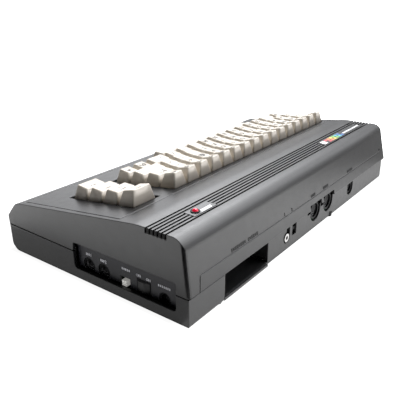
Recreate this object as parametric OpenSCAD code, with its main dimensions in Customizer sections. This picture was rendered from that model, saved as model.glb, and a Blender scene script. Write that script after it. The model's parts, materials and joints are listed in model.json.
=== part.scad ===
// Home computer with the keyboard built into the case.
// X to the user's right, Y to the rear, Z up. Z = 0 is the table under the feet.

/* [Case] */
// Width of the case at the seam
case_w = 404; // [400:1:408]
// Wall thickness of both mouldings
wall = 2.6; // [2.2:0.1:3]
// Visible gap between the two mouldings
seam_gap = 0.9; // [0.6:0.1:1.2]
// Height of the flat hump at the rear
hump_z = 69.1; // [68.5:0.1:70]
// How far the side walls lean in from the seam to the top
side_draft = 4.7; // [3:0.1:6]

/* [Vents] */
// Number of long grooves across the hump
vent_n = 6; // [4:1:6]
// Distance from groove to groove
vent_pitch = 3.82; // [3.6:0.02:4]
// Width of a groove
vent_w = 1.7; // [1.2:0.1:2]

/* [Keyboard] */
// Distance from key to key
pitch = 19.05; // [18.8:0.05:19.1]
// Gap between neighbouring caps at their base
key_gap = 1; // [0.8:0.1:1.4]
// Travel of a key
key_travel = 4; // [3:0.1:4]
// How far a cap leans in at each side
cap_side = 3.8; // [3:0.1:4.2]
// Slope of the key panel, as rise over run
panel_slope = 0.13; // [0.12:0.005:0.14]

/* [Ports] */
// Width of the cartridge slot
slot_w = 66.7; // [60:0.1:68]
// Radius of the holes for the two game port sockets
game_r = 6.8; // [6.4:0.1:7]
// Travel of the reset button
reset_travel = 1.5; // [1:0.1:1.6]
// Angle the power rocker tips through
rocker_tip = 24; // [16:1:26]
// Travel of the channel slider
slider_travel = 3; // [2:0.1:3.5]

/* [Hidden] */
$fn = 48;

case_c = [0.27, 0.27, 0.275];
key_c = [0.90, 0.88, 0.82];
black_c = [0.08, 0.08, 0.085];
metal_c = [0.75, 0.75, 0.76];
board_c = [0.10, 0.35, 0.18];

// ---- outlines ----
function unit(v) = v / norm(v);
// moves every edge of a counter-clockwise outline inwards by t
function inset(P, t) = let (n = len(P)) [for (i = [0:n - 1])
  let (b = P[i], u = unit(b - P[(i + n - 1) % n]), v = unit(P[(i + 1) % n] - b),
       p = [-u[1], u[0]], q = [-v[1], v[0]]) b + t * (p + q) / (1 + p * q)];
// rounds each corner [x, y, r] of an outline
function round_corners(C, n = 8) = let (k = len(C)) [for (i = [0:k - 1])
  each let (b = [C[i][0], C[i][1]], r = C[i][2],
            a = [C[(i + k - 1) % k][0], C[(i + k - 1) % k][1]],
            c = [C[(i + 1) % k][0], C[(i + 1) % k][1]],
            u = unit(a - b), v = unit(c - b), h = acos(u * v) / 2)
    r <= 0 ? [b] :
    let (m = b + unit(u + v) * r / sin(h), s = b + u * r / tan(h) - m,
         e = b + v * r / tan(h) - m, a0 = atan2(s[1], s[0]),
         d = (atan2(e[1], e[0]) - a0 + 900) % 360 - 180)
    [for (j = [0:n]) m + r * [cos(a0 + d * j / n), sin(a0 + d * j / n)]]];
// a strip of width w along a path
function strip(P, w) = let (n = len(P)) concat(
  [for (i = [0:n - 1]) P[i] + w / 2 * side(P, i)],
  [for (i = [n - 1:-1:0]) P[i] - w / 2 * side(P, i)]);
function side(P, i) = let (n = len(P),
  u = unit(P[min(i + 1, n - 1)] - P[max(i - 1, 0)])) [-u[1], u[0]];

// side view of the whole case, in Y and Z, with corner radii
rear_y = 109.9;
rear_z = 25.9;
rear_lean = 0.1935;
base_z = 0.9;
profile = round_corners([[-97, base_z, 13], [106.4, base_z, 4], [rear_y, rear_z, 0],
  [rear_y - rear_lean * (hump_z - rear_z), hump_z, 12], [56.5, hump_z, 60], [-93.3, 50, 11],
  [-111.7, 28.5, 17], [-107, 11, 19]], 10);
// the lower moulding has an upright rear wall, flush with the upper one at the
// right of the cartridge slot and set in under it everywhere else
low_profile = round_corners([[-97, base_z, 13], [109.3, base_z, 2.5], [109.8, 60, 0], [-93.3, 50, 11],
  [-111.7, 28.5, 17], [-107, 11, 19]], 10);
flush_x = 157;
set_in_y = 106.6;
half = case_w / 2;
front_view = round_corners([[-half, base_z, 1.6], [half, base_z, 1.6],
  [half, 26, 0], [half - side_draft * 49 / 43, 75, 0],
  [-half + side_draft * 49 / 43, 75, 0], [-half, 26, 0]], 6);
plan_view = round_corners([[-half - 0.3, -110.2, 10], [half + 0.3, -110.2, 10],
  [half + 0.3, 112, 1], [-half - 0.3, 112, 1]], 8);
low_plan = round_corners([[-half - 0.3, -110.2, 10], [half + 0.3, -110.2, 10],
  [half + 0.3, 110.4, 1.8], [-half - 0.3, 110.4, 1.8]], 8);

module along_x(x0, x1) translate([x0, 0, 0]) rotate([90, 0, 90])
  linear_extrude(x1 - x0) children();
module along_y(y0, y1) translate([0, y1, 0]) rotate([90, 0, 0])
  linear_extrude(y1 - y0) children();
module box(x0, x1, y0, y1, z0, z1) translate([x0, y0, z0])
  cube([x1 - x0, y1 - y0, z1 - z0]);
// the closed shape of the case, t inside its outer skin
module body_shape(t) intersection() {
  along_x(-220, 220) polygon(inset(profile, t));
  along_y(-120, 120) polygon(inset(front_view, t));
  linear_extrude(90) polygon(inset(plan_view, t));
}
// the closed shape of the lower moulding, t inside its outer skin
module low_shape(t) difference() {
  intersection() {
    along_x(-220, 220) polygon(inset(low_profile, t));
    along_y(-120, 120) polygon(inset(front_view, t));
    linear_extrude(90) polygon(inset(low_plan, t));
  }
  box(-230, flush_x + t, set_in_y - t, 130, -5, 95);
}
// rounds the leaning upright corners at the rear with radius r
side_n = unit([1, 0, side_draft / 43]);
rear_n = unit([0, 1, rear_lean]);
edge_n = unit(cross(side_n, rear_n));
third_n = cross(edge_n, side_n);
module corner_tool(r, t) for (m = [0, 1]) mirror([m, 0, 0])
  multmatrix([for (k = [0:2]) [side_n[k], third_n[k], edge_n[k],
    k == 0 ? half - t : (k == 1 ? rear_y - t : 26)]])
  translate([0, 0, -12]) linear_extrude(60) polygon(concat(
    [for (j = [0:8]) [-r + r * cos(90 * j / 8), -r + r * sin(90 * j / 8)]],
    [[-r, 3], [3, 3], [3, -r]]));
// everything above or below the seam, shifted up by d
seam_k = -0.0098;
function seam_z(y) = 26.75 + seam_k * y;
module above(d, top = 95) along_x(-230, 230) polygon([[-130, seam_z(-130) + d],
  [130, seam_z(130) + d], [130, top], [-130, top]]);
module below(d) along_x(-230, 230) polygon([[-130, -5], [130, -5],
  [130, seam_z(130) + d], [-130, seam_z(-130) + d]]);

// ---- key panel frame: origin at the rear edge of the key block ----
tilt = atan(panel_slope);
kb_y = 27.9;
kb_z = 51 + panel_slope * (kb_y + 88);
kb_x = -187.1;
fn_x = 155.85;
module on_panel() translate([0, kb_y, kb_z]) rotate([tilt, 0, 0]) children();

// widths of the keys, in key pitches, row by row from the rear
row_w = [[for (i = [0:15]) 1],
  [1.5, for (i = [0:12]) 1, 1.5],
  [for (i = [0:13]) 1, 2],
  [1, 1.5, for (i = [0:9]) 1, 1.5, 1, 1],
  [9]];
row_x = [0, 0, 0, 0, 3.25];
function before(W, i) = i <= 0 ? 0 : W[i - 1] + before(W, i - 1);
function key_x(r, i) = kb_x + pitch * (row_x[r] + before(row_w[r], i) + row_w[r][i] / 2);
function key_v(r) = -pitch * (r + 0.5);
// heights of the front and rear edge of the cap tops above the panel
cap_f = [12.0, 11.5, 11.4, 12.3, 11.0];
cap_r = [13.4, 9.7, 8.6, 9.2, 9.0];
all_keys = [for (r = [0:4]) for (i = [0:len(row_w[r]) - 1])
  [key_x(r, i), key_v(r), r, row_w[r][i]],
  for (r = [0:3]) [fn_x, key_v(r), r, 1.5]];

// the tapered block of a cap; t is set in from the sides and top from above
module cap_block(w, r, t, top) {
  low = t > 0 ? -2 : -1;
  k = cap_side / 14;
  x0 = (w * pitch - key_gap) / 2 - t;
  y0 = (pitch - key_gap) / 2 - t;
  intersection() {
    along_y(-20, 20) polygon([[-x0 + k * (low + 1), low], [x0 - k * (low + 1), low],
      [x0 - k * 16.8, 15.8], [-x0 + k * 16.8, 15.8]]);
    along_x(-120, 120) polygon([[-y0, low], [y0, low],
      [y0 - 0.7, cap_r[r] - top], [-y0 + 4.8, cap_f[r] - top]]);
  }
}
// one key, standing on its own centre in the key panel frame
module key(w, r) {
  d = pitch - key_gap;
  tw = w * pitch - key_gap - 2 * cap_side;
  run = d - 5.5;
  lean = atan((cap_r[r] - cap_f[r]) / run);
  deep = 0.8;
  R = tw * tw / (8 * deep);
  difference() {
    cap_block(w, r, 0, 0);
    if (w < 3) translate([0, -d / 2 + 4.8, cap_f[r]]) rotate([lean, 0, 0])
      translate([0, -10, R - deep]) rotate([-90, 0, 0])
        cylinder(r = R, h = run + 20, $fn = 96);
    difference() {
      cap_block(w, r, 1.5, 2.2);
      for (x = w > 3 ? [-57, 0, 57] : [0]) translate([x, 0, -3]) cylinder(r = 3.4, h = 20);
    }
  }
  for (x = w > 3 ? [-57, 0, 57] : [0])
    translate([x, 0, -16.4]) cylinder(r = 3.4, h = 16.4 + 3);
}
module keys_at(L) color(key_c) on_panel() for (k = L)
  translate([k[0], k[1], 0]) key(k[3], k[2]);
module row_keys(r, a, b) keys_at([for (i = [a:b]) [key_x(r, i), key_v(r), r, row_w[r][i]]]);
module plunger_points() for (k = all_keys)
  for (x = k[3] > 3 ? [-57, 0, 57] : [0]) translate([k[0] + x, k[1], 0]) children();

// ---- case screw and board screw places ----
screw_xy = [[-175, -82], [0, -82], [175, -82], [-175, 56], [182.5, -27], [-135, 92]];
board_xy = [[-106, -3], [-106, 80], [60, -3], [183, 30.5], [16, 57], [175, 98]];
kscrew_x = [-150, -30, 60, 130];

// cuts in the rear wall for the sockets
module rear_cuts() {
  translate([50.9, 120, 13.7]) rotate([90, 0, 0]) cylinder(r = 6, h = 22);
  box(45.2, 51.6, 98, 120, 13.6, 26.4);
  box(32.2, 40.4, 98, 120, 11.3, 26.4);
  for (x = [-8.8, -39.3]) {
    translate([x, 120, 20]) rotate([90, 0, 0]) cylinder(r = 11.1, h = 22);
    box(x - 11.1, x + 11.1, 98, 120, 20, 26.4);
  }
  translate([-99, 120, 16.4]) rotate([90, 0, 0]) cylinder(r = 8, h = 22);
  box(-107, -91, 98, 120, 16.4, 26.4);
}
// notches in the lower edge of the upper moulding, over the two larger sockets
module rear_notches() for (x = [[-16.5, 8.8], [-47, -21]])
  box(x[0], x[1], 100, 120, 20, 31.2);
// opening in the right side wall
module side_cut() along_x(190, 220)
  polygon(round_corners([[-14.5, 11, 4], [97.3, 11, 3], [97.3, 34.5, 2], [-14.5, 34.5, 2]], 5));
// a shallow line cut d deep into the outer skin
module line_cut(d) difference() { children(); body_shape(d); }

groove_y = [for (i = [0:vent_n - 1]) 66.8 + vent_pitch * i];
function groove_spans(i) = (i >= 2 && i <= 4)
  ? [[-210, -178.7], [-75.3, 131.3], [160.7, 210]] : [[-210, 210]];

module top_case() color(case_c) {
  difference() {
    union() {
      difference() {
        intersection() { body_shape(0); above(seam_gap / 2); }
        body_shape(wall);
        corner_tool(3, 0);
      }
      // thick pad that carries the grooves and the two badges
      intersection() { body_shape(1); box(-220, 220, 62.5, 90.5, 63.2, 70); }
      // inner rim of the key panel openings, which stiffens the panel
      intersection() {
        body_shape(1);
        on_panel() difference() {
          union() {
            box(kb_x - 4.5, kb_x + 16 * pitch + 3, -4 * pitch - 8, 3, -5, -1.5);
            box(key_x(4, 0) - 4.5 * pitch - 3, key_x(4, 0) + 4.5 * pitch + 3, -5 * pitch - 4.2, -4 * pitch, -5, -1.5);
            box(fn_x - 20.8, fn_x + 17.6, -4 * pitch - 8, 3, -5, -1.5);
          }
        }
      }
      // bosses for the case screws
      intersection() {
        body_shape(1);
        for (p = screw_xy) translate([p[0], p[1], 17]) cylinder(r = 4, h = 60);
      }
      // bosses for the keyboard frame
      for (x = kscrew_x) for (v = [7.5, -100.5])
        intersection() { body_shape(1); on_panel() translate([x, v, -5.9]) cylinder(r = 3.5, h = 5); }
    }
    on_panel() {
      box(kb_x - 2, kb_x + 16 * pitch + 0.45, -4 * pitch - 5.4, 0.45, -8, 5);
      box(key_x(4, 0) - 4.5 * pitch - 0.45, key_x(4, 0) + 4.5 * pitch + 0.45,
          -5 * pitch - 1.7, -4 * pitch, -8, 5);
      box(fn_x - 18.25, fn_x + 0.75 * pitch + 0.45, -4 * pitch - 5.4, 0.45, -8, 5);
      for (x = kscrew_x) for (v = [7.5, -100.5]) translate([x, v, -7]) cylinder(r = 1.3, h = 5.2);
    }
    for (p = screw_xy) translate([p[0], p[1], 10]) cylinder(r = 1.5, h = 22);
    // thin line round the key panel
    line_cut(0.55) {
      for (x = [-193.9, 193.1]) box(x, x + 0.8, -85.4, 36.8, 40, 80);
      for (y = [-85.4, 36]) box(-193.9, 193.9, y, y + 0.8, 40, 80);
    }
    // grooves, and the slots that let air through their floors
    for (i = [0:vent_n - 1]) for (s = groove_spans(i))
      box(s[0], s[1], groove_y[i] - vent_w / 2, groove_y[i] + vent_w / 2, 65, 80);
    for (i = [0:vent_n - 1]) for (j = [0:4])
      box(-70 + 39 * j, -35 + 39 * j, groove_y[i] - vent_w / 2, groove_y[i] + vent_w / 2, 60, 66);
    // seats of the badges and of the lamp
    box(131.3, 160.7, 72.4, 84.2, 68.3, 75);
    box(-178.7, -75.3, 72.4, 84.2, 68.3, 75);
    translate([153, 78.2, 55]) cylinder(r = 3.3, h = 20);
    // line across the rear wall and the small hole beside it
    line_cut(0.5) {
      box(-185.4, 186.4, 100, 120, 37.4, 38.2);
      along_y(100, 120) polygon([[185.6, 38.2], [186.4, 38.2], [191.6, 20], [190.8, 20]]);
    }
    translate([-185, 120, 40.6]) rotate([90, 0, 0]) cylinder(r = 1.6, h = 20);
    rear_notches();
    side_cut();
  }
}

module bottom_case() color(case_c) {
  difference() {
    union() {
      difference() {
        intersection() { low_shape(0.15); below(-seam_gap / 2); }
        low_shape(wall + 0.5);
        // the rear rim is lower, which leaves the shadow gap under the overhang
        box(-230, flush_x, 101.5, 120, 24.2, 60);
      }
      // inner lip that closes the seam
      difference() {
        intersection() { body_shape(wall + 0.15); low_shape(0.6); above(-5.2, 40); below(2.4); }
        intersection() { body_shape(wall + 1.3); low_shape(1.9); }
        box(-197, flush_x + 1, 103.2, 120, 24.2, 60);
      }
      // floor of the cartridge slot with its sharp rear lip
      box(83.4, 154.3, 74, 106, 0.8, 3);
      box(88.3, 155.5, 104, 108.6, 0.8, 2.9);
      // guide walls of the cartridge slot
      intersection() {
        low_shape(1);
        union() for (x = [83.4, 152.3]) box(x, x + 2, 74, 108, 2.5, 24.2);
      }
      // pads over the two rear feet
      intersection() {
        low_shape(0.4);
        for (p = rear_feet) translate([p[0], p[1], 1.7]) cylinder(r = 6, h = 4.3);
      }
      // screw towers
      intersection() {
        low_shape(1);
        for (p = screw_xy) translate([p[0], p[1], 1]) cylinder(r = 5, h = 15.6);
      }
      // ledges under the port panel
      intersection() {
        low_shape(1);
        for (y = [27, 88]) box(195.6, 197, y, y + 5, 3, 9.35);
      }
      // posts under the main board
      intersection() {
        low_shape(1);
        for (p = board_xy) translate([p[0], p[1], 1]) cylinder(r = 3.5, h = 8.2);
      }
    }
    // cartridge slot
    box(85.5, 85.5 + slot_w, 73, 125, 3, 40);
    for (p = rear_feet) translate([p[0], p[1], -1]) cylinder(r = 4.3, h = 5.2);
    for (p = screw_xy) {
      translate([p[0], p[1], -1]) cylinder(r = 3.4, h = 13);
      translate([p[0], p[1], -1]) cylinder(r = 1.8, h = 30);
    }
    for (p = board_xy) translate([p[0], p[1], 4.5]) cylinder(r = 1.2, h = 10);
    // air slots in the floor
    for (i = [0:5]) for (x = [-60, 10]) box(x, x + 50, 0 + 7 * i, 2.4 + 7 * i, -1, 8);
    rear_cuts();
    rear_notches();
    side_cut();
  }
}

module port_panel() color([0.23, 0.23, 0.25]) difference() {
  along_x(195.4, 197.2) polygon(round_corners([[-13, 9.4, 3], [98.6, 9.4, 1],
    [98.6, 38, 1], [-13, 38, 1]], 4));
  for (y = [-0.5, 17.2]) translate([190, y, 15.8]) rotate([0, 90, 0]) cylinder(r = game_r, h = 12);
  translate([190, 82.6, 14]) rotate([0, 90, 0]) cylinder(r = 5.7, h = 12);
  box(190, 200, 36, 46.8, 5, 18.6);
  box(190, 200, 54.4, 68.8, 5, 22.7);
}

module name_badge() color(metal_c) box(-178.4, -75.6, 72.7, 83.9, 68.35, 69.35);
module power_badge() color(metal_c) difference() {
  box(131.6, 160.4, 72.7, 83.9, 68.35, 69.35);
  translate([153, 78.2, 60]) cylinder(r = 3.4, h = 20);
}
module led_lens() color([0.8, 0.05, 0.08]) translate([153, 78.2, 0]) {
  translate([0, 0, 60]) cylinder(r = 2.65, h = 9.2);
  translate([0, 0, 69.2]) sphere(r = 2.65);
  translate([0, 0, 60]) cylinder(r = 3.1, h = 1);
}
module led_bezel() color(black_c) translate([153, 78.2, 0]) difference() {
  union() {
    translate([0, 0, 61.4]) cylinder(r = 3.2, h = 8);
    translate([0, 0, 69.4]) cylinder(r = 3.9, h = 0.7);
  }
  translate([0, 0, 60]) cylinder(r = 2.75, h = 12);
}
module led_cable() color([0.6, 0.1, 0.1]) along_x(152, 154)
  polygon(strip([[78.2, 59.9], [78.2, 52], [76, 44], [70, 38], [65, 32], [63, 24], [63, 11.1]], 1.2));

module keyboard_frame() color(black_c) on_panel() difference() {
  union() {
    box(kb_x - 3, fn_x + 18, -106, 13, -8, -6);
    plunger_points() translate([0, 0, -14]) cylinder(r = 4.8, h = 7);
    for (x = kscrew_x) for (v = [-2, -93]) translate([x + 9.5, v, -20.9]) cylinder(r = 2.6, h = 14);
  }
  plunger_points() translate([0, 0, -20]) cylinder(r = 3.6, h = 20);
  for (x = kscrew_x) for (v = [7.5, -100.5]) translate([x, v, -12]) cylinder(r = 1.7, h = 10);
  for (x = kscrew_x) for (v = [-2, -93]) translate([x + 9.5, v, -22]) cylinder(r = 1.1, h = 9);
}
module keyboard_board() color(board_c) on_panel() difference() {
  box(kb_x - 1, fn_x + 16, -99, 3, -22.5, -20.9);
  for (x = kscrew_x) for (v = [-2, -93]) translate([x + 9.5, v, -24]) cylinder(r = 1.5, h = 6);
}
module key_springs() color(metal_c) on_panel() plunger_points()
  translate([0, 0, -5.9]) difference() {
    cylinder(r = 4.5, h = 6.4);
    translate([0, 0, -1]) cylinder(r = 3.9, h = 10);
  }
module keyboard_screws() color(metal_c) on_panel() {
  for (x = kscrew_x) for (v = [7.5, -100.5]) translate([x, v, 0]) {
    translate([0, 0, -9.7]) cylinder(r = 2.8, h = 1.6);
    translate([0, 0, -8.4]) cylinder(r = 1.25, h = 6);
  }
  for (x = kscrew_x) for (v = [-2, -93]) translate([x + 9.5, v, 0]) {
    translate([0, 0, -24.2]) cylinder(r = 2.4, h = 1.6);
    translate([0, 0, -22.9]) cylinder(r = 1.05, h = 8);
  }
}
module keyboard_cable() color([0.7, 0.7, 0.68]) along_x(-96, -70)
  polygon(strip([[18, 41], [17.6, 36], [15, 31], [11, 27], [9.4, 22], [9.4, 11.1]], 0.9));

module main_board() color(board_c) difference() {
  box(-112, 190, -8, 103.2, 9.3, 10.9);
  // room for the phono jack and the power switch
  box(45, 58.6, 101.5, 110, 5, 15);
  box(178.5, 200, 53.6, 69.6, 5, 15);
  box(82.8, 155.2, 73.5, 110, 5, 15);
  for (p = board_xy) translate([p[0], p[1], 5]) cylinder(r = 1.7, h = 10);
}
// dual in-line packages: x, y, length along X
chip_list = [[-40, 12, 52], [-40, 36, 52], [22, 12, 62], [22, 36, 36], [66, 36, 36],
  [92, 12, 52], [112, 36, 20], [112, 50, 20], [-40, 54, 20], [-12, 54, 20], [40, 54, 20], [92, 54, 14]];
module chips() color(black_c) for (c = chip_list)
  difference() {
    box(c[0], c[0] + c[2], c[1] - (c[2] > 30 ? 7 : 3.2), c[1] + (c[2] > 30 ? 7 : 3.2), 11.2, 15.2);
    translate([c[0], c[1], 14.7]) cylinder(r = 1.3, h = 2);
  }
module capacitors() color([0.15, 0.25, 0.55]) {
  for (p = [[167, 74, 6, 15], [166, 88, 4, 11], [-80, 40, 4, 11], [-80, 55, 4, 11],
            [-60, 86, 3, 9], [74, 88, 3, 9], [74, 78, 3, 9], [12, 84, 3, 9], [-90, 30, 2.5, 7]])
    translate([p[0], p[1], 10.95]) cylinder(r = p[2], h = p[3]);
}
module rf_shield() color(metal_c) difference() {
  box(-50, 150, 0, 61, 10.95, 24);
  box(-49.4, 149.4, 0.6, 60.4, 8, 23.4);
  for (i = [0:9]) for (j = [0:2]) translate([-38 + 19.5 * i, 12 + 18 * j, 20]) cylinder(r = 3, h = 8);
}
module voltage_regulator() color([0.6, 0.6, 0.62]) {
  difference() {
    box(155.5, 175.5, 42, 58, 10.95, 30);
    for (i = [0:3]) box(154, 178, 45 + 3.2 * i, 47 + 3.2 * i, 15, 32);
  }
}
module rf_modulator() color(metal_c) difference() {
  box(28, 62, 64, 101.8, 10.95, 27.5);
  box(28.6, 61.4, 64.6, 101.2, 8, 26.9);
  for (x = [36, 54]) translate([x, 74, 20]) cylinder(r = 2.2, h = 10);
}
module rca_jack() color(metal_c) translate([51.6, 0, 13.6]) difference() {
  union() {
    translate([0, 107, 0]) rotate([90, 0, 0]) cylinder(r = 4.15, h = 5.1);
    translate([0, 103.2, 0]) rotate([90, 0, 0]) cylinder(r = 5.4, h = 1.3);
  }
  translate([0, 110, 0]) rotate([90, 0, 0]) cylinder(r = 1.9, h = 7);
}
module channel_switch_body() color(black_c) difference() {
  box(31.5, 41.6, 101.9, 103.3, 11.2, 21);
  box(32.6, 40.8, 102.5, 106, 15.6, 19.4);
}
module channel_slider() color(black_c) {
  box(33.2, 37.2, 102.7, 105.2, 16, 19);
}
module cartridge_connector() color(black_c) difference() {
  union() {
    box(90, 149, 66, 76.5, 10.95, 21.5);
    for (x = [87.5, 146]) box(x, x + 5.5, 66, 72, 10.95, 16);
  }
  box(93, 146, 69, 80, 14.8, 17.8);
}

// socket body that faces along -Y of its own frame: w by h block and a round face
module din_face(r, core, pins, ring, $fn = 32) difference() {
  cylinder(r = r, h = 6);
  difference() {
    translate([0, 0, 1]) cylinder(r = ring, h = 6);
    cylinder(r = core, h = 4.6);
  }
  for (i = [0:pins - 1]) rotate([0, 0, 130 / (pins - 1) * i + 205])
    translate([core * 0.66, 0, 1]) cylinder(r = 0.7, h = 6);
}
module rear_din(x, z, w, h, r, core, ring, pins, y1) color(black_c) {
  box(x - w / 2, x + w / 2, y1 - 16, y1 - 5, 10.95, z + h / 2);
  translate([x, y1, z]) rotate([90, 0, 0]) mirror([0, 0, 1]) translate([0, 0, -6])
    din_face(r, core, pins, ring);
}
module video_socket() rear_din(-8.8, 20.2, 18.6, 17.6, 9, 5.2, 7.2, 8, 105.4);
module serial_socket() rear_din(-39.3, 20.2, 18.6, 17.6, 9, 5.2, 7.2, 6, 105.4);
module cassette_socket() rear_din(-99, 17, 14, 12, 6, 3.4, 4.9, 7, 105.4);
module side_din(y, z, r, core, ring, pins) color(black_c) {
  box(179.5, 191, y - 7, y + 7, 10.95, z + 7);
  translate([196.4, y, z]) rotate([0, 90, 0]) translate([0, 0, -6]) din_face(r, core, pins, ring);
}
module game_socket_1() side_din(-0.5, 15.8, 6.4, 3.6, 5.1, 8);
module game_socket_2() side_din(17.2, 15.8, 6.4, 3.6, 5.1, 8);
module power_socket() color(black_c) {
  box(179.5, 191, 75.6, 89.6, 10.95, 20.5);
  translate([196.4, 82.6, 14]) rotate([0, 90, 0]) translate([0, 0, -6]) din_face(5.4, 2.6, 4, 4.2);
}

rk_x = 196; rk_y = 61.6;
module power_switch_housing() color(black_c) difference() {
  box(180, 197.6, 54.7, 68.5, 8.3, 22.4);
  box(184, 200, rk_y - 6.2, rk_y + 6.2, 9.5, 21.2);
  translate([rk_x, rk_y, 8]) cylinder(r = 1.06, h = 15);
}
// the face has a ridge at the pivot; at rest its front half stands square to the wall
module power_rocker() color(black_c) translate([rk_x, rk_y, 0]) {
  translate([0, 0, 9.9]) linear_extrude(10.9) intersection() {
    circle(r = 6.05);
    polygon([[-5, -7], [1.9, -7], [1.9, 0], [1.9 - 7 * tan(rocker_tip), 7], [-5, 7]]);
  }
  translate([0, 0, 8.7]) cylinder(r = 1, h = 13.3);
}
module reset_switch_body() color(black_c) difference() {
  box(180, 189, 37, 45, 10.95, 17.4);
  translate([183, 41, 13.6]) rotate([0, 90, 0]) cylinder(r = 1.5, h = 10);
}
module reset_button() color([0.95, 0.95, 0.93]) {
  box(191, 198.2, 38.6, 43.4, 11, 16);
  translate([185.5, 41, 13.6]) rotate([0, 90, 0]) cylinder(r = 1.3, h = 6);
}
rear_feet = [[159.7, 103.7], [-48.5, 103.7]];
module feet() color([0.05, 0.05, 0.05]) {
  for (p = rear_feet) translate([p[0], p[1], 0]) cylinder(r = 4, h = 4.2);
  for (p = [[-172, 84], [-168, -78], [168, -78], [0, -60]])
    translate([p[0], p[1], 0]) cylinder(r = 5.6, h = base_z + 0.15);
}
module case_screws() color(metal_c) for (p = screw_xy) translate([p[0], p[1], 0]) {
  translate([0, 0, 9.9]) cylinder(r = 3, h = 2.1);
  translate([0, 0, 11]) cylinder(r = 1.45, h = 16);
}
module board_screws() color(metal_c) for (p = board_xy) translate([p[0], p[1], 0]) {
  translate([0, 0, 10.95]) cylinder(r = 2.8, h = 1.8);
  translate([0, 0, 5]) cylinder(r = 1.15, h = 7);
}

top_case();
bottom_case();
port_panel();
name_badge();
power_badge();
led_lens();
led_bezel();
led_cable();
keyboard_frame();
keyboard_board();
key_springs();
keyboard_cable();
main_board();
chips();
capacitors();
rf_shield();
voltage_regulator();
rf_modulator();
rca_jack();
channel_switch_body();
channel_slider();
cartridge_connector();
video_socket();
serial_socket();
cassette_socket();
game_socket_1();
game_socket_2();
power_socket();
power_switch_housing();
power_rocker();
reset_switch_body();
reset_button();
feet();
case_screws();
board_screws();
keyboard_screws();
row_keys(0, 0, 10);  // number_keys
row_keys(0, 11, 11);  // cursor_left_key
row_keys(0, 12, 12);  // cursor_right_key
row_keys(0, 13, 13);  // cursor_up_key
row_keys(0, 14, 14);  // cursor_down_key
row_keys(0, 15, 15);  // delete_key
row_keys(1, 0, 0);  // control_key
row_keys(1, 1, 13);  // upper_letter_keys
row_keys(1, 14, 14);  // home_key
row_keys(2, 0, 0);  // stop_key
row_keys(2, 1, 1);  // shift_lock_key
row_keys(2, 2, 13);  // home_row_keys
row_keys(2, 14, 14);  // return_key
row_keys(3, 0, 0);  // symbol_key
row_keys(3, 1, 1);  // left_shift_key
row_keys(3, 2, 11);  // lower_letter_keys
row_keys(3, 12, 12);  // right_shift_key
row_keys(3, 13, 14);  // escape_key
row_keys(4, 0, 0);  // space_bar
keys_at([all_keys[62]]);  // function_key_1
keys_at([all_keys[63]]);  // function_key_2
keys_at([all_keys[64]]);  // function_key_3
keys_at([all_keys[65]]);  // function_key_4
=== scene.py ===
import json
import math
import bpy
import bmesh
from mathutils import Matrix, Vector


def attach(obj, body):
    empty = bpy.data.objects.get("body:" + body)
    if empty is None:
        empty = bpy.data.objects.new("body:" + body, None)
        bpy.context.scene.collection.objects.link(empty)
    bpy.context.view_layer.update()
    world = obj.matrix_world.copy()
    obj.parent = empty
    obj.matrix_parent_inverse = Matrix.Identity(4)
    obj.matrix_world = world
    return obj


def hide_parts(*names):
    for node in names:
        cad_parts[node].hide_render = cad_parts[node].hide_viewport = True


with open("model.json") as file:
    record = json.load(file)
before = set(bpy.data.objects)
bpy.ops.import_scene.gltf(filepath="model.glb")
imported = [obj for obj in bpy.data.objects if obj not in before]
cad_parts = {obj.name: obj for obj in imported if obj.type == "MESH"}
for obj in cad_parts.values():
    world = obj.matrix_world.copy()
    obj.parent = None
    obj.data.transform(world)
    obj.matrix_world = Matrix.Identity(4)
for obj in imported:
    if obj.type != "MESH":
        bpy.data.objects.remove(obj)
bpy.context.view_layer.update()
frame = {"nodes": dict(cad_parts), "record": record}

scene = bpy.context.scene
MM = 0.001
nodes = frame["nodes"]

# ------------------------------------------------------------------ camera
AZ, EL, ROLL = math.radians(127.289), math.radians(22.393), math.radians(-0.596)
back = Vector((math.sin(AZ) * math.cos(EL), -math.cos(AZ) * math.cos(EL), math.sin(EL)))
right = (-back).cross(Vector((0, 0, 1))).normalized()
up = right.cross(-back)
r = math.cos(ROLL) * right + math.sin(ROLL) * up
u = -math.sin(ROLL) * right + math.cos(ROLL) * up
cam = bpy.data.objects.new("camera", bpy.data.cameras.new("camera"))
scene.collection.objects.link(cam)
M = Matrix((r, u, back)).transposed().to_4x4()
M.translation = Vector((0.443733, 0.304609, 0.230597))
cam.matrix_world = M
cam.data.sensor_width = 36.0
cam.data.lens = 46.567
cam.data.shift_x = -0.214 / 400
cam.data.clip_start = 0.01
cam.data.clip_end = 60
scene.camera = cam

# ------------------------------------------------------------------ light
scene.view_settings.view_transform = "Standard"
scene.view_settings.look = "None"
scene.view_settings.exposure = 0.0
world = bpy.data.worlds.new("studio")
scene.world = world
world.use_nodes = True
wn, wl = world.node_tree.nodes, world.node_tree.links
wn.clear()


wout = wn.new("ShaderNodeOutputWorld")
wbg = wn.new("ShaderNodeBackground")
wtc = wn.new("ShaderNodeTexCoord")


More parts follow.
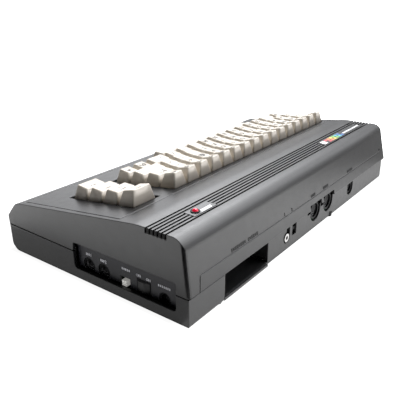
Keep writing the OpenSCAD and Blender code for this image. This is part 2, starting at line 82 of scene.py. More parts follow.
def glow_from(azimuth, height, amount, base, spread=26):
    """Adds soft light from round one direction, given in degrees."""
    a, h = math.radians(azimuth), math.radians(height)
    d = wn.new("ShaderNodeVectorMath")
    d.operation = "DOT_PRODUCT"
    wl.new(wtc.outputs["Generated"], d.inputs[0])
    d.inputs[1].default_value = (math.cos(h) * math.cos(a), math.cos(h) * math.sin(a), math.sin(h))
    m = wn.new("ShaderNodeMapRange")
    m.inputs["From Min"].default_value = math.cos(math.radians(spread))
    m.inputs["From Max"].default_value = 1.0
    m.inputs["To Max"].default_value = amount / 10
    m.interpolation_type = "SMOOTHSTEP"
    wl.new(d.outputs["Value"], m.inputs["Value"])
    if base is None:
        return m.outputs[0]
    t = wn.new("ShaderNodeMath")
    t.operation = "ADD"
    wl.new(base, t.inputs[0])
    wl.new(m.outputs[0], t.inputs[1])
    return t.outputs[0]


# large soft boxes stand behind the object, seen from the camera; the camera's side of the room is dark
sky = None
for az, height, amount, spread in (
        (190, 58, 6.26, 26), (216, 34, 2.95, 13), (215, 38, 2.74, 26), (155, 38, 2.69, 26), (150, 58, 2.68, 26),
        (208, 34, 2.65, 13), (130, 38, 2.0, 26), (192, 34, 1.3, 13), (224, 34, 1.2, 13), (224, 22, 1.07, 13),
        (175, 38, 1.0, 26), (140, 4, 0.9, 26), (240, 38, 0.88, 26), (230, 58, 0.85, 26), (240, 10, 0.8, 26),
        (130, 20, 0.75, 26), (232, 22, 0.72, 13), (200, 80, 0.24, 26), (270, 20, 0.2, 26)):
    sky = glow_from(az, height, amount, sky, spread)
wtint = wn.new("ShaderNodeCombineColor")
for ch, k in (("Red", 0.985), ("Green", 0.995), ("Blue", 1.02)):
    t = wn.new("ShaderNodeMath")
    t.operation = "MULTIPLY_ADD"
    wl.new(sky, t.inputs[0])
    t.inputs[1].default_value = k
    t.inputs[2].default_value = 0.004
    wl.new(t.outputs[0], wtint.inputs[ch])
wl.new(wtint.outputs[0], wbg.inputs["Color"])
wbg.inputs["Strength"].default_value = 10.0
wl.new(wbg.outputs[0], wout.inputs["Surface"])


def area(name, loc, aim, size, power, color=(1, 1, 1)):
    d = bpy.data.lights.new(name, "AREA")
    d.shape = "RECTANGLE"
    d.size, d.size_y = size
    d.energy = power
    d.color = color
    o = bpy.data.objects.new(name, d)
    o.location = loc
    o.rotation_euler = (Vector(aim) - Vector(loc)).to_track_quat("-Z", "Y").to_euler()
    scene.collection.objects.link(o)
    return o


area("key_fill", (-0.1, 0.0, 1.6), (0, 0, 0.06), (0.8, 0.8), 4)


# ------------------------------------------------------------------ materials
def base_mat(name):
    m = bpy.data.materials.new(name)
    m.use_nodes = True
    n = m.node_tree.nodes
    n.clear()
    out = n.new("ShaderNodeOutputMaterial")
    b = n.new("ShaderNodeBsdfPrincipled")
    m.node_tree.links.new(b.outputs[0], out.inputs["Surface"])
    return m, n, m.node_tree.links, b


def coords(n, l, scale=(1, 1, 1)):
    t = n.new("ShaderNodeTexCoord")
    mp = n.new("ShaderNodeMapping")
    mp.inputs["Scale"].default_value = scale
    l.new(t.outputs["Object"], mp.inputs["Vector"])
    return mp.outputs["Vector"]


def noise(n, l, vec, scale, detail=3.0, rough=0.5):
    t = n.new("ShaderNodeTexNoise")
    t.inputs["Scale"].default_value = scale
    t.inputs["Detail"].default_value = detail
    t.inputs["Roughness"].default_value = rough
    l.new(vec, t.inputs["Vector"])
    return t.outputs["Fac"]


def remap(n, l, value, lo, hi, f0=0.3, f1=0.7):
    t = n.new("ShaderNodeMapRange")
    t.inputs["From Min"].default_value = f0
    t.inputs["From Max"].default_value = f1
    t.inputs["To Min"].default_value = lo
    t.inputs["To Max"].default_value = hi
    l.new(value, t.inputs["Value"])
    return t.outputs[0]


def tint(n, l, fac, a, b):
    t = n.new("ShaderNodeMix")
    t.data_type = "RGBA"
    l.new(fac, t.inputs["Factor"])
    t.inputs["A"].default_value = (*a, 1)
    t.inputs["B"].default_value = (*b, 1)
    return t.outputs["Result"]


def plastic(name, a, b, r0, r1, grain=2600, bump=0.00004, edge=0.0005, smear=40, spec=0.5):
    """Moulded plastic: a fine grain in the surface, faint uneven sheen, softened edges."""
    m, n, l, s = base_mat(name)
    v = coords(n, l)
    big = noise(n, l, v, smear, 4, 0.6)
    l.new(tint(n, l, remap(n, l, big, 0, 1, 0.35, 0.65), a, b), s.inputs["Base Color"])
    mid = noise(n, l, v, smear * 3.1, 5, 0.65)
    l.new(remap(n, l, mid, r0, r1), s.inputs["Roughness"])
    s.inputs["Specular IOR Level"].default_value = spec
    fine = noise(n, l, v, grain, 2, 0.6)
    bp = n.new("ShaderNodeBump")
    bp.inputs["Strength"].default_value = 0.5
    bp.inputs["Distance"].default_value = bump
    l.new(fine, bp.inputs["Height"])
    if edge:
        bv = n.new("ShaderNodeBevel")
        bv.samples = 6
        bv.inputs["Radius"].default_value = edge
        l.new(bv.outputs[0], bp.inputs["Normal"])
    l.new(bp.outputs[0], s.inputs["Normal"])
    return m


def metal(name, color, r0, r1, stretch=(1, 1, 1), scale=300, edge=0.0002):
    m, n, l, s = base_mat(name)
    v = coords(n, l, stretch)
    f = noise(n, l, v, scale, 4, 0.6)
    l.new(tint(n, l, f, [c * 0.82 for c in color], color), s.inputs["Base Color"])
    l.new(remap(n, l, f, r0, r1), s.inputs["Roughness"])
    s.inputs["Metallic"].default_value = 1.0
    bp = n.new("ShaderNodeBump")
    bp.inputs["Strength"].default_value = 0.3
    bp.inputs["Distance"].default_value = 0.00002
    l.new(f, bp.inputs["Height"])
    bv = n.new("ShaderNodeBevel")
    bv.samples = 3
    bv.inputs["Radius"].default_value = edge
    l.new(bv.outputs[0], bp.inputs["Normal"])
    l.new(bp.outputs[0], s.inputs["Normal"])
    return m


case_m = plastic("case_plastic", (0.0125, 0.0125, 0.0130), (0.0150, 0.0150, 0.0155), 0.29, 0.36, edge=0.0011)
panel_m = plastic("panel_plastic", (0.0110, 0.0110, 0.0150), (0.0135, 0.0135, 0.0185), 0.30, 0.38)
black_m = plastic("black_plastic", (0.005, 0.005, 0.0055), (0.008, 0.008, 0.0085), 0.32, 0.44, edge=0.0002)
socket_m = plastic("socket_black", (0.005, 0.005, 0.0055), (0.008, 0.008, 0.0085), 0.40, 0.52, edge=0.0002, spec=0.14)
# one dull black for the phono jack's dark core and, on the grooves, painted shade
core_black_and_groove_shade_m = plastic("core_black_and_groove_shade", (0.008, 0.008, 0.008), (0.012, 0.012, 0.012), 0.5, 0.65, edge=0, spec=0.15)
white_glow_m = plastic("white_plastic", (0.78, 0.77, 0.74), (0.84, 0.83, 0.80), 0.35, 0.45, edge=0.0004, smear=90)
key_m = plastic("key_plastic", (0.60, 0.545, 0.47), (0.65, 0.595, 0.515), 0.42, 0.55, grain=3200,
                bump=0.00003, edge=0, smear=55)
# the function keys' sides and every key's back take a deeper beige than the tops: painted shade, not a different
# plastic
key_side_shade_m = plastic("key_sides_painted_shade", (0.37, 0.335, 0.29), (0.42, 0.38, 0.33), 0.45, 0.60, grain=1500,
                     bump=0.00006, edge=0, smear=70)
key_back_shade_m = plastic("key_backs_painted_shade", (0.42, 0.38, 0.33), (0.48, 0.435, 0.375), 0.45, 0.60, grain=1500,
                     edge=0.0004)
legend_m = plastic("legend_ink", (0.030, 0.028, 0.027), (0.045, 0.042, 0.040), 0.5, 0.65, edge=0, smear=400)
board_m = plastic("board_green", (0.02, 0.10, 0.04), (0.035, 0.15, 0.06), 0.35, 0.5, edge=0, smear=120)
rubber_m = plastic("foot_rubber", (0.012, 0.012, 0.012), (0.02, 0.02, 0.02), 0.6, 0.8, edge=0.0004)
cable_m = plastic("cable_grey", (0.30, 0.30, 0.29), (0.36, 0.36, 0.35), 0.4, 0.5, edge=0, smear=200)
steel_m = metal("plated_steel", (0.72, 0.72, 0.73), 0.22, 0.38)
jack_m = metal("jack_nickel", (0.62, 0.61, 0.60), 0.12, 0.24, scale=700)
badge_m = metal("badge_silver", (0.80, 0.80, 0.82), 0.24, 0.36, stretch=(1, 14, 1), scale=260)
dark_metal_m = metal("dark_metal", (0.16, 0.16, 0.165), 0.35, 0.5)
gold_m = metal("contact_gold", (0.85, 0.62, 0.28), 0.2, 0.3, scale=500)
plate_m = plastic("badge_plate", (0.0125, 0.0125, 0.0130), (0.0150, 0.0150, 0.0155), 0.27, 0.34, edge=0.0003)
mark_m = plastic("light_marks", (0.60, 0.60, 0.64), (0.70, 0.70, 0.74), 0.4, 0.5, edge=0, smear=300)
white_ink_m = plastic("white_ink", (0.80, 0.80, 0.80), (0.88, 0.88, 0.88), 0.3, 0.4, edge=0, smear=300)
raised_m = plastic("raised_marks", (0.0050, 0.0050, 0.0052), (0.0070, 0.0070, 0.0072), 0.55, 0.70, edge=0, smear=300)
tile_ms = [plastic("tile_" + k, [q * 0.9 for q in c], c, 0.25, 0.35, edge=0, smear=500, bump=0.00001)
           for k, c in (("red", (0.62, 0.10, 0.12)), ("orange", (0.80, 0.30, 0.14)), ("yellow", (0.80, 0.70, 0.16)),
                        ("green", (0.22, 0.58, 0.16)), ("cyan", (0.12, 0.50, 0.62)), ("blue", (0.08, 0.20, 0.50)))]
lamp_m = plastic("lamp_red", (0.52, 0.004, 0.03), (0.60, 0.008, 0.045), 0.08, 0.16, edge=0, smear=300, bump=0.000005)
for node in lamp_m.node_tree.nodes:
    if node.type == "BSDF_PRINCIPLED":
        node.inputs["Emission Color"].default_value = (0.8, 0.01, 0.035, 1)
        node.inputs["Emission Strength"].default_value = 0.45
        node.inputs["Coat Weight"].default_value = 0.5
# the white plastic glows a little (emission 0.22): painted light, these parts are no lamp
for node in white_glow_m.node_tree.nodes:
    if node.type == "BSDF_PRINCIPLED":
        node.inputs["Emission Color"].default_value = (1.0, 0.98, 0.94, 1)
        node.inputs["Emission Strength"].default_value = 0.22

by_slot = {"case_plastic": case_m, "panel_plastic": panel_m, "badge_metal": badge_m, "lamp_red": lamp_m,
           "black_plastic": black_m, "key_plastic": key_m, "white_plastic": white_glow_m,
           "circuit_board": board_m, "bare_metal": steel_m, "cable": cable_m, "foot_rubber": rubber_m}
slots = {s["node"]: s["material_slot"] for s in frame["record"]["subparts"]}
for name, o in nodes.items():
    o.data.materials.clear()
    o.data.materials.append(by_slot[slots[name]])
nodes["rca_jack"].data.materials[0] = jack_m
nodes["power_rocker"].data.materials[0] = case_m
nodes["rf_modulator"].data.materials[0] = dark_metal_m
for name in ("video_socket", "serial_socket", "cassette_socket", "game_socket_1", "game_socket_2", "power_socket",
             "power_switch_housing", "channel_switch_body", "channel_slider", "cartridge_connector", "led_bezel"):
    nodes[name].data.materials[0] = socket_m
# the walls and floors of the grooves take a dark dull material: painted shade for the shadow deep inside the narrow
# grooves
top = nodes["top_case"].data
top.materials.append(core_black_and_groove_shade_m)
for p in top.polygons:
    c = sum((top.vertices[i].co for i in p.vertices), Vector()) / len(p.vertices)
    if 0.0655 < c.y < 0.0868 and 0.0645 < c.z < 0.06895 and not (0.1305 < c.x < 0.1615) and not (-0.1795 < c.x < -0.0745):
        p.material_index = 1
for name in ("name_badge", "power_badge"):
    nodes[name].data.materials[0] = plate_m


# ------------------------------------------------------------------ helpers
def link(name, mesh, mats, body):
    o = bpy.data.objects.new(name, mesh)
    scene.collection.objects.link(o)
    for m in mats:
        mesh.materials.append(m)
    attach(o, body)
    return o


def text_mesh(s, size, depth, bold=0.0):
    """Flat letters as a bmesh, centred on their own box."""
    c = bpy.data.curves.new("t", "FONT")
    c.body = s
    c.size = size
    c.extrude = depth / 2
    c.offset = bold
    c.align_x, c.align_y = "CENTER", "CENTER"
    c.resolution_u = 3
    o = bpy.data.objects.new("t", c)
    scene.collection.objects.link(o)
    dg = bpy.context.evaluated_depsgraph_get()
    me = bpy.data.meshes.new_from_object(o.evaluated_get(dg))
    bpy.data.objects.remove(o)
    bpy.data.curves.remove(c)
    if me.vertices:
        xs = [v.co.x for v in me.vertices]
        ys = [v.co.y for v in me.vertices]
        d = Vector(((min(xs) + max(xs)) / 2, (min(ys) + max(ys)) / 2, 0))
        for v in me.vertices:
            v.co -= d
    return me


# ------------------------------------------------------------------ key caps
PITCH = 19.05
SLOPE = math.atan(0.13)
KB = Matrix.Translation(Vector((0, 27.9, 51 + 0.13 * (27.9 + 88)))) @ Matrix.Rotation(SLOPE, 4, "X")
KBX, FNX = -187.1, 155.85
ROW_W = [[1] * 16, [1.5] + [1] * 13 + [1.5], [1] * 14 + [2], [1, 1.5] + [1] * 10 + [1.5, 1, 1], [9]]
ROW_X = [0, 0, 0, 0, 3.25]
CAP_F = [12.0, 11.5, 11.4, 12.3, 11.0]
CAP_R = [13.4, 9.7, 8.6, 9.2, 9.0]
SIDE, FRONT, REAR, DISH = 3.8, 4.8, 0.7, 0.8


def rounded(hx, y0, y1, rad, n=6, m=5):
    """Points round a rectangle with round corners, counter-clockwise."""
    pts = []
    rad = min(rad, hx * 0.95, (y1 - y0) * 0.47)
    cs = [(hx - rad, y0 + rad, -90), (hx - rad, y1 - rad, 0), (-hx + rad, y1 - rad, 90), (-hx + rad, y0 + rad, 180)]
    for k, (cx, cy, a) in enumerate(cs):
        for i in range(n + 1):
            t = math.radians(a + 90 * i / n)
            pts.append((cx + rad * math.cos(t), cy + rad * math.sin(t)))
        nx, ny, _ = cs[(k + 1) % 4]
        t = math.radians(a + 90)
        ax, ay = cx + rad * math.cos(t), cy + rad * math.sin(t)
        bx, by = nx + rad * math.cos(t), ny + rad * math.sin(t)
        for i in range(1, m):
            pts.append((ax + (bx - ax) * i / m, ay + (by - ay) * i / m))
    return pts


class Cap:
    def __init__(self, w, row):
        d = PITCH - 1.0
        self.hx0 = (w * PITCH - 1.0) / 2
        self.y0, self.y1 = -d / 2, d / 2
        self.w, self.row = w, row
        self.hx1 = self.hx0 - SIDE * (CAP_F[row] + CAP_R[row] + 2) / 28
        self.f, self.b = CAP_F[row], CAP_R[row]
        self.ty0, self.ty1 = self.y0 + FRONT, self.y1 - REAR

    def top(self, x, y):
        t = (y - self.ty0) / (self.ty1 - self.ty0)
        z = self.f + (self.b - self.f) * t
        if self.w < 3:
            z -= DISH * max(0.0, 1 - (x / self.hx1) ** 2) + 0.25 * max(0.0, 1 - (2 * t - 1) ** 2) * max(0.0, 1 - (x / self.hx1) ** 2)
        else:
            z += 0.0
        return z

    def build(self, bm, mat, place):
        rings = []
        rad = 1.0
        for s in (0.0, 0.03, 0.5, 0.93):
            e = 0.35 if s == 0 else 0.0
            hx = self.hx0 + (self.hx1 - self.hx0) * s - e
            y0, y1 = self.y0 + FRONT * s + e, self.y1 - REAR * s - e
            ring = []
            for x, y in rounded(hx, y0, y1, 1.1 + 0.5 * s):
                ty = self.ty0 + (y - y0) / (y1 - y0) * (self.ty1 - self.ty0)
                T = self.f + (self.b - self.f) * (ty - self.ty0) / (self.ty1 - self.ty0)
                ring.append((x, y, -1 + (T + 1) * s))
            rings.append(ring)
        for e in (0.06, 0.25, 0.6, 1.1, 1.9, 3.0, 4.2):
            q = max(0.0, rad - e)
            drop = rad - math.sqrt(max(0.0, rad * rad - q * q))
            hx = self.hx1 - e if self.hx1 - e > 0.4 else 0.4
            y0, y1 = self.ty0 + e, self.ty1 - e
            if y1 - y0 < 0.8:
                c = (y0 + y1) / 2
                y0, y1 = c - 0.4, c + 0.4
            rings.append([(x, y, self.top(x, y) - drop) for x, y in rounded(hx, y0, y1, max(0.25, 1.6 - e * 0.5))])
        verts = [[bm.verts.new(place @ Vector(p)) for p in ring] for ring in rings]
        n = len(rings[0])
        for k, (a, b) in enumerate(zip(verts, verts[1:])):
            for i in range(n):
                f = bm.faces.new((a[i], a[(i + 1) % n], b[(i + 1) % n], b[i]))
                f.smooth = True
                p, q = rings[k][i], rings[k][(i + 1) % n]
                side = abs(q[1] - p[1]) > abs(q[0] - p[0])
                # slot 2 on side faces and slot 3 on back faces carry the painted shade of the key sides and backs
                f.material_index = mat if k > 3 else 2 if side else 3 if p[1] > (self.ty0 + self.ty1) / 2 else mat
        f = bm.faces.new(verts[-1]); f.smooth = True
        f.material_index = mat
        # the inside of the cap and its open lower edge
        inner = []
        for s, t in ((0.0, 1.35), (0.75, 1.35)):
            hx = self.hx0 + (self.hx1 - self.hx0) * s - t
            y0, y1 = self.y0 + FRONT * s + t, self.y1 - REAR * s - t
            inner.append([bm.verts.new(place @ Vector((x, y, -1 + (min(self.f, self.b) + 1) * s)))
                          for x, y in rounded(hx, y0, y1, 0.6)])
        for a, b in ((verts[0], inner[0]), (inner[0], inner[1])):
            for i in range(n):
                f = bm.faces.new((a[(i + 1) % n], a[i], b[i], b[(i + 1) % n]))
                f.smooth = True
                f.material_index = mat
        f = bm.faces.new(list(reversed(inner[1]))); f.material_index = mat
        # the plunger under the cap
        for sx in ((-57, 0, 57) if self.w > 3 else (0,)):
            lo = [bm.verts.new(place @ Vector((sx + 3.4 * math.cos(math.tau * i / 20), 3.4 * math.sin(math.tau * i / 20), -16.4))) for i in range(20)]
            hi = [bm.verts.new(place @ Vector((sx + 3.4 * math.cos(math.tau * i / 20), 3.4 * math.sin(math.tau * i / 20), min(self.f, self.b) - 3.4))) for i in range(20)]
            for i in range(20):
                f = bm.faces.new((lo[i], lo[(i + 1) % 20], hi[(i + 1) % 20], hi[i])); f.smooth = True
                f.material_index = mat
            bm.faces.new(list(reversed(lo))).material_index = mat
            bm.faces.new(hi).material_index = mat

    def legend(self, bm, s, size, mat, place, dx=0.0, dy=0.0):
        me = text_mesh(s, size * 1.15, 0.16, 0.26)
        first = len(bm.verts)
        bm.verts.ensure_lookup_table()
        vs = []
        for v in me.vertices:
            x = v.co.x + dx
            y = v.co.y + (self.ty0 + self.ty1) / 2 + dy
            vs.append(bm.verts.new(place @ Vector((x, y, self.top(x, y) + v.co.z + 0.03))))
        for p in me.polygons:
            try:
                f = bm.faces.new([vs[i] for i in p.vertices])
                f.material_index = mat
            except ValueError:
                pass
        bpy.data.meshes.remove(me)


def key_x(row, i):
    return KBX + PITCH * (ROW_X[row] + sum(ROW_W[row][:i]) + ROW_W[row][i] / 2)


LEG = [
    ["#", "1", "2", "3", "4", "5", "6", "7", "8", "9", "0", "←", "→", "↑", "↓", "<x"],
    ["∆∆", "Q", "W", "E", "R", "T", "Y", "U", "I", "O", "P", "@", "+", "-", "|<<"],
    ["||", "_A_", "A", "S", "D", "F", "G", "H", "J", "K", "L", ":", ";", "*", "<---"],
    ["◊", "^^^", "Z", "X", "C", "V", "B", "N", "M", ",", ".", "/", "^^^", "(X)", "="],
    [""],
]
GROUPS = [
    ("number_keys", 0, 0, 10), ("cursor_left_key", 0, 11, 11), ("cursor_right_key", 0, 12, 12),
    ("cursor_up_key", 0, 13, 13), ("cursor_down_key", 0, 14, 14), ("delete_key", 0, 15, 15),
    ("control_key", 1, 0, 0), ("upper_letter_keys", 1, 1, 13), ("home_key", 1, 14, 14),
    ("stop_key", 2, 0, 0), ("shift_lock_key", 2, 1, 1), ("home_row_keys", 2, 2, 13), ("return_key", 2, 14, 14),
    ("symbol_key", 3, 0, 0), ("left_shift_key", 3, 1, 1), ("lower_letter_keys", 3, 2, 11),
    ("right_shift_key", 3, 12, 12), ("escape_key", 3, 13, 14), ("space_bar", 4, 0, 0)]


def finish_mesh(bm, name):
    bmesh.ops.recalc_face_normals(bm, faces=bm.faces)
    bmesh.ops.scale(bm, vec=(MM, MM, MM), verts=bm.verts)
    me = bpy.data.meshes.new(name)
    bm.to_mesh(me)
    bm.free()
    return me


def key_object(node, items):
    bm = bmesh.new()
    for cx, cv, row, w, text in items:
        place = KB @ Matrix.Translation(Vector((cx, cv, 0)))
        cap = Cap(w, row)
        cap.build(bm, 0, place)
        if text:
            if len(text) == 1:
                cap.legend(bm, text, 6.4, 1, place, 0, 0.6)
            else:
                cap.legend(bm, text, 4.6 if w < 1.4 else 5.8, 1, place, 0, 0.4)
    # the function keys' sides and every key's back get the painted-shade beige
    o = link(node + "_caps", finish_mesh(bm, node + "_caps"), [key_m, legend_m, key_side_shade_m if node.startswith("function") else key_m, key_back_shade_m], node)
    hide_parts(node)
    return o


for node, row, a, b in GROUPS:
    key_object(node, [(key_x(row, i), -PITCH * (row + 0.5), row, ROW_W[row][i], LEG[row][i]) for i in range(a, b + 1)])
for row in range(4):
    key_object("function_key_%d" % (row + 1), [(FNX, -PITCH * (row + 0.5), row, 1.5, "F%d" % (row + 1))])

# ------------------------------------------------------------------ small pieces
def block(bm, c, d, mat, place=None, skew=0.0, taper=0.0):
    """A box round c with half sizes d; skew leans it along x and taper draws in its top."""
    vs = []
    for z in (-1, 1):
        k = 1 - taper * (z + 1) / 2
        for x, y in ((-1, -1), (1, -1), (1, 1), (-1, 1)):
            p = Vector((c[0] + x * d[0] * k + skew * y, c[1] + y * d[1] * k, c[2] + z * d[2]))
            vs.append(bm.verts.new(place @ p if place else p))
    for q in ((3, 2, 1, 0), (4, 5, 6, 7), (0, 1, 5, 4), (1, 2, 6, 5), (2, 3, 7, 6), (3, 0, 4, 7)):
        bm.faces.new([vs[i] for i in q]).material_index = mat


def words(bm, text, size, depth, mat, place, bold=0.08):
    me = text_mesh(text, size, depth, bold)
    vs = [bm.verts.new(place @ v.co) for v in me.vertices]
    for p in me.polygons:
        try:
            bm.faces.new([vs[i] for i in p.vertices]).material_index = mat
        except ValueError:
            pass
    bpy.data.meshes.remove(me)


def tube(bm, r0, r1, h0, h1, mat, place, n=40):
    """A ring from radius r0 to r1, between two heights; with r0 = 0 it is a solid pin."""
    def loop(rr, h):
        return [bm.verts.new(place @ Vector((rr * math.cos(math.tau * i / n), rr * math.sin(math.tau * i / n), h))) for i in range(n)]
    if r0 == 0:
        a, b = loop(r1, h0), loop(r1, h1)
        pairs = [(a, b)]
        bm.faces.new(list(reversed(a))).material_index = mat
        bm.faces.new(b).material_index = mat
    else:
        a, b, c, d = loop(r1, h0), loop(r1, h1), loop(r0, h1), loop(r0, h0)
        pairs = [(a, b), (b, c), (c, d), (d, a)]
    for p, q in pairs:
        for i in range(n):
            f = bm.faces.new((p[i], p[(i + 1) % n], q[(i + 1) % n], q[i]))
            f.material_index = mat
            f.smooth = True


# the lamp badge carries one bright strip
bm = bmesh.new()
block(bm, (142.9, 81.3, 69.39), (6.6, 1.75, 0.05), 0, skew=0.8)
link("power_badge_strip", finish_mesh(bm, "power_badge_strip"), [white_ink_m], "case")
# the long badge has a white end, a run of small leaning tiles in two staggered rows, and plain dashes
bm = bmesh.new()
block(bm, (-80.9, 78.6, 69.39), (4.4, 3.9, 0.05), 0, skew=1.2)
for i in range(6):
    for j in range(2):
        block(bm, (-90.2 - 6.6 * i - 2.4 * j, 76.2 + 4.7 * j, 69.39), (2.75, 2.0, 0.05), 1 + i, skew=0.9)
for i in range(9):
    w = (2.5, 1.8, 2.5, 2.1, 2.5, 1.6, 2.5, 2.1, 2.5)[i]
    block(bm, (-133.2 - 5.2 * i, 79.4, 69.39), (w, 1.35, 0.05), 0)
link("name_badge_pattern", finish_mesh(bm, "name_badge_pattern"), [white_ink_m] + tile_ms, "case")

# plain marks over the side sockets
SIDE_M = Matrix(((0, 0, 1), (1, 0, 0), (0, 1, 0))).to_4x4()


def on_side(y, z, lift=0.05):
    return Matrix.Translation(Vector((197.2 + lift, y, z))) @ SIDE_M


bm = bmesh.new()
words(bm, "1", 3.6, 0.1, 0, on_side(2.6, 25.9), 0.14)
words(bm, "2", 3.6, 0.1, 0, on_side(20.0, 25.3), 0.14)
for y, z in ((-1.2, 25.9), (16.2, 25.3)):
    for k in range(3):
        block(bm, (1.7 * k - 1.7, 0, 0), (0.55, 1.1, 0.05), 0, on_side(y, z))
for k in range(-2, 3):
    block(bm, (k * 1.9, 0, 0), (0.62, 0.95, 0.05), 0, on_side(42.7, 26.0))
words(bm, "OFF", 3.0, 0.1, 0, on_side(56.4, 25.4), 0.1)
words(bm, "ON", 3.0, 0.1, 0, on_side(66.5, 25.0), 0.1)
for k in range(-3, 4):
    block(bm, (k * 1.8, 0, 0), (0.55, 0.95, 0.05), 0, on_side(82.5, 24.4))
link("side_marks", finish_mesh(bm, "side_marks"), [mark_m], "case")

# raised marks along the line on the rear wall
def on_rear(x, z, lift=0.0):
    n_ = Vector((0, 1, 0.1935)).normalized()
    u_ = Vector((0, -0.1935, 1)).normalized()
    p = Vector((x, 109.9 - 0.1935 * (z - 25.9), z)) + lift * n_
    m4 = Matrix((Vector((-1, 0, 0)), u_, n_)).transposed().to_4x4()
    m4.translation = p
    return m4


bm = bmesh.new()
for k in range(15):
    if k not in (8,):
        block(bm, (0, 0, 0.12), (0.85, (1.45, 1.1, 1.45)[k % 3], 0.16), 0, on_rear(144.0 - 2.7 * k, 40.2))
for x, t in ((59.0, "1"), (45.0, "2")):
    words(bm, t, 4.2, 0.3, 0, on_rear(x, 40.2, 0.12), 0.12)
for x, cnt in ((1.0, 4), (-28.0, 5), (-91.0, 6)):
    for k in range(cnt):
        block(bm, (0, 0, 0.12), (0.85, 1.35, 0.16), 0, on_rear(x - 2.5 * (k - (cnt - 1) / 2), 40.2))
link("rear_marks", finish_mesh(bm, "rear_marks"), [raised_m], "case")

# metal shells and pins of the round sockets
bm = bmesh.new()
for y in (-0.5, 17.2):
    place = Matrix.Translation(Vector((196.4, y, 15.8))) @ SIDE_M
    tube(bm, 4.6, 4.95, -4.6, -0.9, 0, place)
    for i in range(8):
        a = math.radians(205 + 130 / 7 * i)
        tube(bm, 0, 0.42, -4.4, -1.1, 0, place @ Matrix.Translation(Vector((2.38 * math.cos(a), 2.38 * math.sin(a), 0))), 12)
for x, z, r_, c_, cnt in ((-8.8, 20.2, 6.9, 5.2, 8), (-39.3, 20.2, 6.9, 5.2, 6), (-99.0, 17.0, 4.7, 3.4, 7)):
    place = Matrix.Translation(Vector((x, 105.4, z))) @ Matrix(((-1, 0, 0), (0, 0, 1), (0, 1, 0))).to_4x4()
    tube(bm, r_ - 0.3, r_, -4.6, -2.2, 1, place)
    for i in range(cnt):
        a = math.radians(205 + 130 / (cnt - 1) * i)
        tube(bm, 0, 0.42, -4.4, -1.6, 0, place @ Matrix.Translation(Vector((0.66 * c_ * math.cos(a), 0.66 * c_ * math.sin(a), 0))), 12)
link("socket_shells", finish_mesh(bm, "socket_shells"), [dark_metal_m, dark_metal_m], "case")
# the dark core of the phono jack, with its centre hole
bm = bmesh.new()
tube(bm, 0.75, 1.88, -3.6, -0.7, 0, Matrix.Translation(Vector((51.6, 107, 13.6))) @ Matrix(((-1, 0, 0), (0, 0, 1), (0, 1, 0))).to_4x4())
link("jack_core", finish_mesh(bm, "jack_core"), [core_black_and_groove_shade_m], "case")
# guide rail in the cartridge slot
bm = bmesh.new()
block(bm, (86.0, 94.2, 4.5), (0.5, 8.2, 0.3), 0)
link("slot_rail", finish_mesh(bm, "slot_rail"), [steel_m], "case")

# ------------------------------------------------------------------ floor
me = bpy.data.meshes.new("floor")
R = 20.0
me.from_pydata([(-R, -R, 0), (R, -R, 0), (R, R, 0), (-R, R, 0)], [], [(0, 1, 2, 3)])
floor = bpy.data.objects.new("floor", me)
scene.collection.objects.link(floor)
m, n, l, s = base_mat("floor_white")
v = coords(n, l)
f = noise(n, l, v, 3.0, 2)
l.new(tint(n, l, f, (0.14, 0.14, 0.14), (0.16, 0.16, 0.16)), s.inputs["Base Color"])
s.inputs["Roughness"].default_value = 0.9
s.inputs["Specular IOR Level"].default_value = 0.0
s.inputs["Emission Color"].default_value = (1.0, 1.0, 1.0, 1)
# a light table whose glow is dimmer close to the object: this dimming is painted shadow round the object, also seen in
# its reflections


def vmath(op, a, b=None):
    t = n.new("ShaderNodeVectorMath")
    t.operation = op
    l.new(a, t.inputs[0])
    if b is not None:
        t.inputs[1].default_value = b
    return t.outputs["Value" if op == "LENGTH" else "Vector"]


def math2(op, a, b):
    t = n.new("ShaderNodeMath")
    t.operation = op
    for k, q in ((0, a), (1, b)):
        if isinstance(q, (int, float)):
            t.inputs[k].default_value = q
        else:
            l.new(q, t.inputs[k])
    return t.outputs[0]


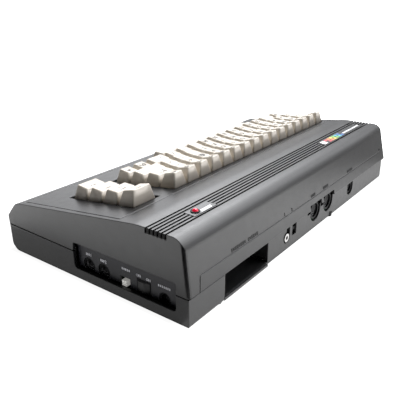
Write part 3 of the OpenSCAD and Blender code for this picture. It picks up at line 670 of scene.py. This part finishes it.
# the glow falls off towards the object's footprint: painted shadow on the floor
away = vmath("LENGTH", vmath("MAXIMUM", vmath("SUBTRACT", vmath("ABSOLUTE", v), (0.202, 0.107, 0)), (0, 0, 0)))
sep = n.new("ShaderNodeSeparateXYZ")
l.new(v, sep.inputs[0])
rear = remap(n, l, sep.outputs["Y"], 0.0, 1.0, 0.09, 0.13)
left = remap(n, l, sep.outputs["X"], 1.0, 0.0, -0.40, -0.14)
beside = remap(n, l, away, 0.95, 2.25, 0.04, 0.18)
behind = remap(n, l, away, 1.35, 3.15, 0.04, 0.18)
behind = math2("ADD", math2("MULTIPLY", behind, math2("SUBTRACT", 1.0, left)), math2("MULTIPLY", left, 0.6))
total = math2("ADD", math2("MULTIPLY", behind, rear), math2("MULTIPLY", beside, math2("SUBTRACT", 1.0, rear)))
l.new(math2("MAXIMUM", total, 0.95), s.inputs["Emission Strength"])
me.materials.append(m)

# dark flags keep light off some sides, as in a studio; the camera looks through them. The two dark sheets lying on the
# floor, under and beside the object, are painted shadow: they stand in for the floor's shade near the object, seen in
# its reflections
for name, tone, pts in (
        ("flag_far", 0.5, [(-0.30, 0.12, 0.001), (-0.30, 0.34, 0.001), (-0.30, 0.34, 0.12), (-0.30, 0.12, 0.12)]),
        ("flag_corner", 0.0, [(0.189, 0.222, 0.001), (0.3105, 0.0626, 0.001), (0.3105, 0.0626, 0.30), (0.189, 0.222, 0.30)]),
        ("flag_under", 0.0, [(-0.204, -0.108, 0.0003), (0.2035, -0.108, 0.0003), (0.2035, 0.107, 0.0003), (-0.204, 0.107, 0.0003)]),
        ("flag_floor", 0.50, [(0.2035, -0.16, 0.0006), (0.262, -0.16, 0.0006), (0.262, 0.10, 0.0006), (0.2035, 0.10, 0.0006)])):
    m, n, l, s = base_mat(name)
    v = coords(n, l)
    l.new(tint(n, l, noise(n, l, v, 60, 2), (0.002, 0.002, 0.002), (0.004, 0.004, 0.004)), s.inputs["Base Color"])
    s.inputs["Roughness"].default_value = 1.0
    s.inputs["Specular IOR Level"].default_value = 0.0
    s.inputs["Emission Color"].default_value = (1, 1, 1, 1)
    s.inputs["Emission Strength"].default_value = tone
    me = bpy.data.meshes.new(name)
    me.from_pydata(pts, [], [(0, 1, 2, 3)])
    me.materials.append(m)
    o = bpy.data.objects.new(name, me)
    scene.collection.objects.link(o)
    o.visible_camera = False
